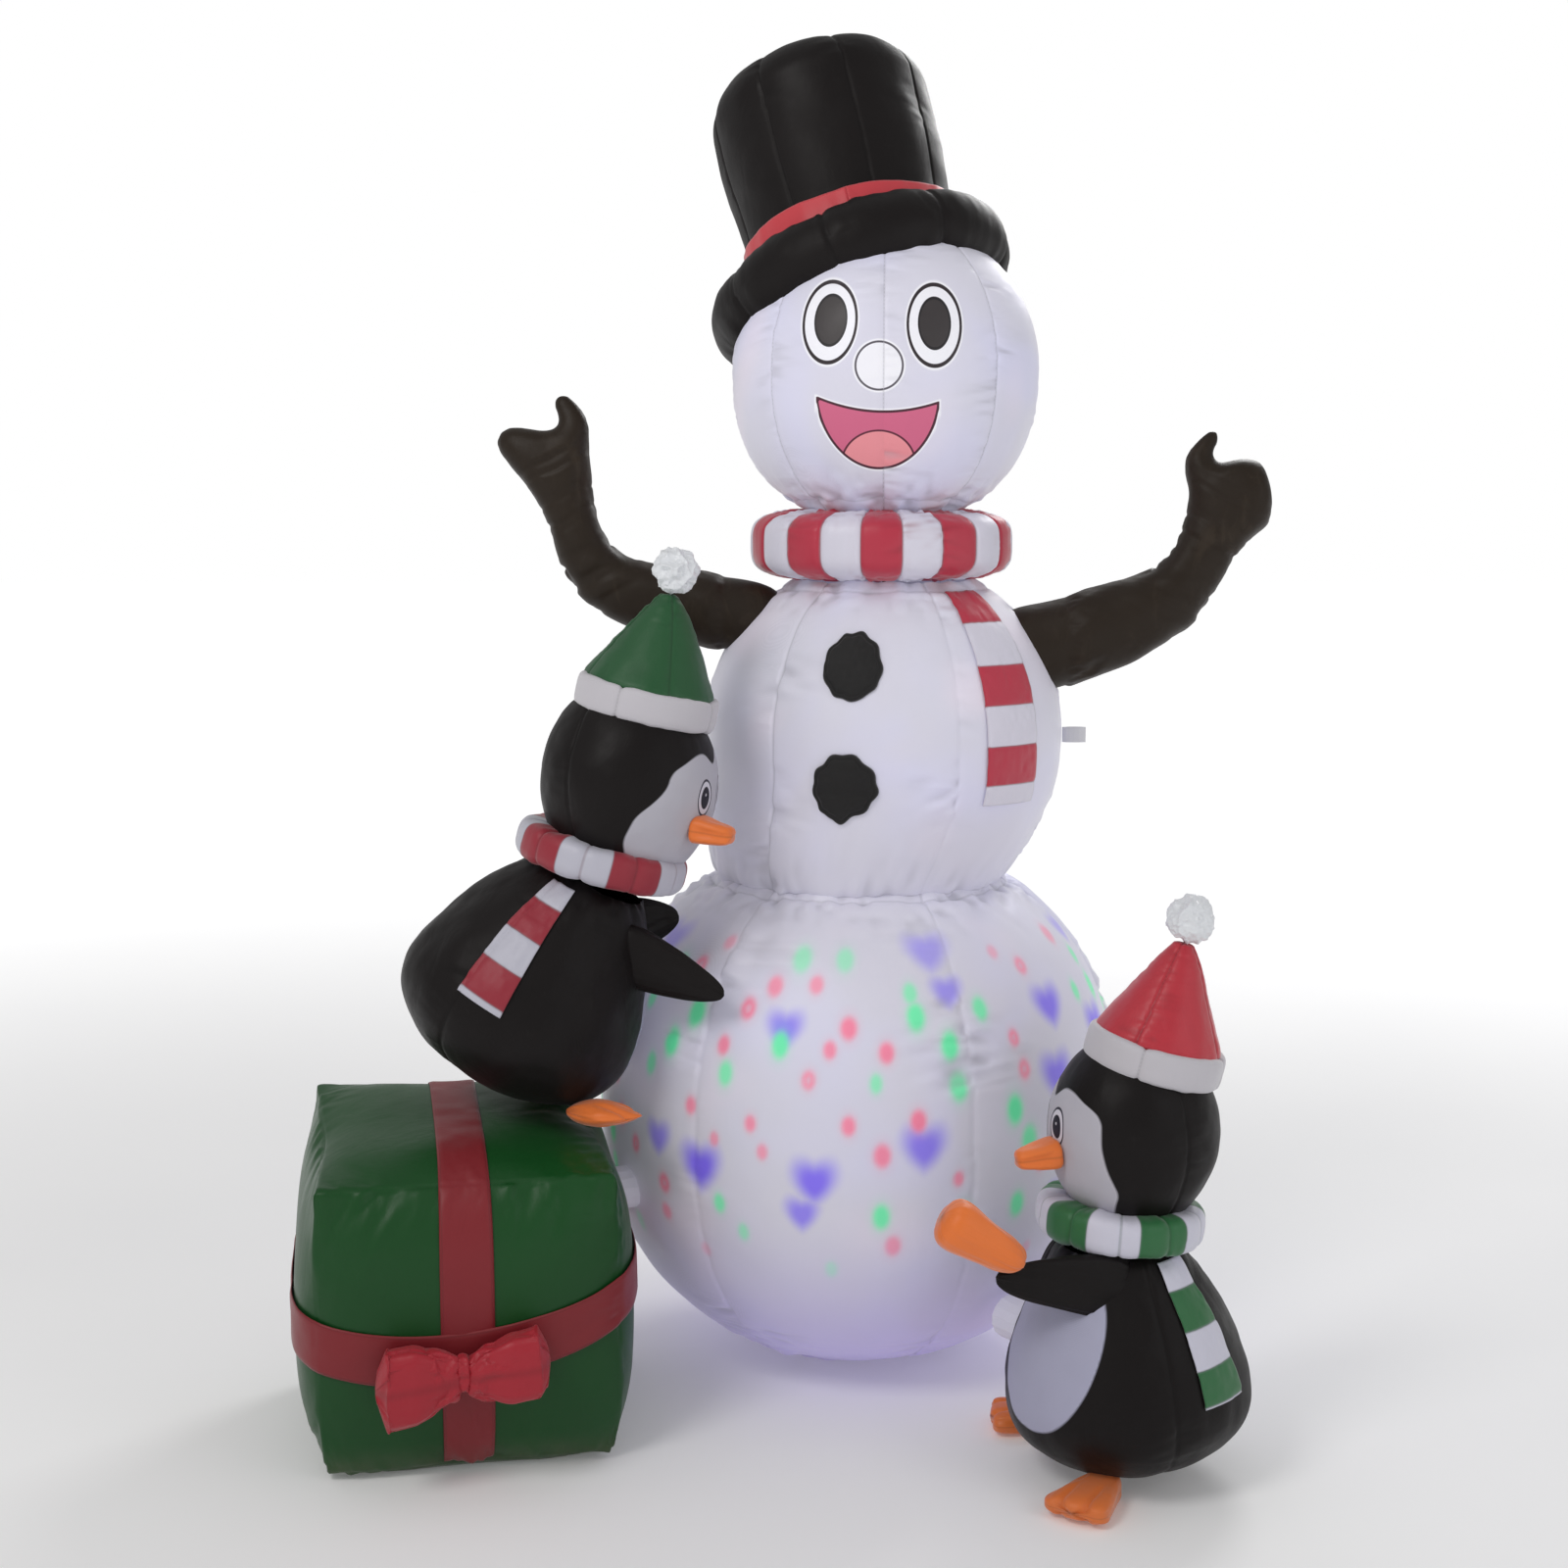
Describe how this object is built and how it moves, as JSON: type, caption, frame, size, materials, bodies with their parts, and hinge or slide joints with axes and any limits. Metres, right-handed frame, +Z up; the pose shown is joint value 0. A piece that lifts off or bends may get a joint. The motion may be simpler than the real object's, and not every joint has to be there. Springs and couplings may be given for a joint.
{
  "type": "inflatable yard snowman",
  "caption": "Blower-filled yard snowman with top hat, striped scarf and stick arms, with a gift box and penguins sewn on, lit from inside.",
  "frame": {"origin": "on the ground, at the middle of the base ball's flat bottom", "axes": "+Z up, -Y the way the snowman faces, +X to the viewer's right"},
  "size_m": [1.762, 1.3307, 2.4501],
  "materials": {
    "white_cloth": "satin coated nylon",
    "hat_cloth": "satin coated nylon",
    "band_cloth": "satin coated nylon",
    "red_stripe_cloth": "satin coated nylon",
    "green_stripe_cloth": "satin coated nylon",
    "stick_cloth": "satin coated nylon",
    "button_cloth": "satin coated nylon",
    "webbing": "satin coated nylon",
    "gift_cloth": "satin coated nylon",
    "ribbon_cloth": "satin coated nylon",
    "bow_cloth": "satin coated nylon",
    "green_hat_cloth": "satin coated nylon",
    "red_hat_cloth": "satin coated nylon",
    "cuff_cloth": "satin coated nylon",
    "tinsel": "satin coated nylon",
    "orange_cloth": "satin coated nylon",
    "penguin_cloth": "satin coated nylon",
    "clear_plastic": "clear gloss",
    "rubber": "matt",
    "black_plastic": "fine grain",
    "motor_steel": "satin",
    "zip_metal": "bright"
  },
  "bodies": {
    "root": {"arm_left": "stick_cloth", "arm_right": "stick_cloth", "base_ball": "white_cloth", "blower_grille": "black_plastic", "blower_housing": "black_plastic", "blower_motor": "motor_steel", "blower_sleeve": "white_cloth", "bow_knot": "bow_cloth", "bow_loop_left": "bow_cloth", "bow_loop_right": "bow_cloth", "button_lower": "button_cloth", "button_upper": "button_cloth", "cord_gland": "rubber", "gift_box": "gift_cloth", "gift_duct": "white_cloth", "hat_band": "band_cloth", "hat_brim": "hat_cloth", "hat_crown": "hat_cloth", "head_ball": "white_cloth", "lamp_base": "black_plastic", "led_harness": "rubber", "led_head": "clear_plastic", "led_torso": "clear_plastic", "p1_beak": "orange_cloth", "p1_body": "penguin_cloth", "p1_flipper_far": "penguin_cloth", "p1_flipper_near": "penguin_cloth", "p1_foot_far": "orange_cloth", "p1_foot_near": "orange_cloth", "p1_hat_cone": "green_hat_cloth", "p1_hat_cuff": "cuff_cloth", "p1_head": "penguin_cloth", "p1_pompom": "tinsel", "p1_scarf_ring": "red_stripe_cloth", "p1_scarf_tail": "red_stripe_cloth", "p2_beak": "orange_cloth", "p2_body": "penguin_cloth", "p2_carrot": "orange_cloth", "p2_flipper_far": "penguin_cloth", "p2_flipper_near": "penguin_cloth", "p2_foot_far": "orange_cloth", "p2_foot_near": "orange_cloth", "p2_hat_cone": "red_hat_cloth", "p2_hat_cuff": "cuff_cloth", "p2_head": "penguin_cloth", "p2_pompom": "tinsel", "p2_scarf_ring": "green_stripe_cloth", "p2_scarf_tail": "green_stripe_cloth", "penguin_duct": "white_cloth", "ribbon_level": "ribbon_cloth", "ribbon_upright": "ribbon_cloth", "scarf_collar": "red_stripe_cloth", "scarf_tail": "red_stripe_cloth", "tether_tab_right": "webbing", "torso_ball": "white_cloth", "zip_tape": "webbing"},
    "impeller": {"blower_impeller": "black_plastic"},
    "dome": {"lamp_dome": "clear_plastic"},
    "slider": {"zip_slider": "zip_metal"},
    "pull": {"zip_pull": "zip_metal"}
  },
  "joints": [
    {"name": "impeller_spin", "type": "hinge", "parent": "root", "child": "impeller", "pos_m": [0, 0.36, 0.128], "axis": [0, 1, 0], "continuous": true},
    {"name": "lamp_spin", "type": "hinge", "parent": "root", "child": "dome", "pos_m": [0, 0, 0.05], "axis": [0, 0, 1], "continuous": true},
    {"name": "zip_slide", "type": "hinge", "parent": "root", "child": "slider", "pos_m": [0, -0.2646, 0.479], "axis": [1, 0, 0], "range_deg": [-26, 0]},
    {"name": "zip_pull_swing", "type": "hinge", "parent": "slider", "child": "pull", "pos_m": [0, 0.4804, 0.651], "axis": [1, 0, 0], "range_deg": [0, 150]}
  ]
}
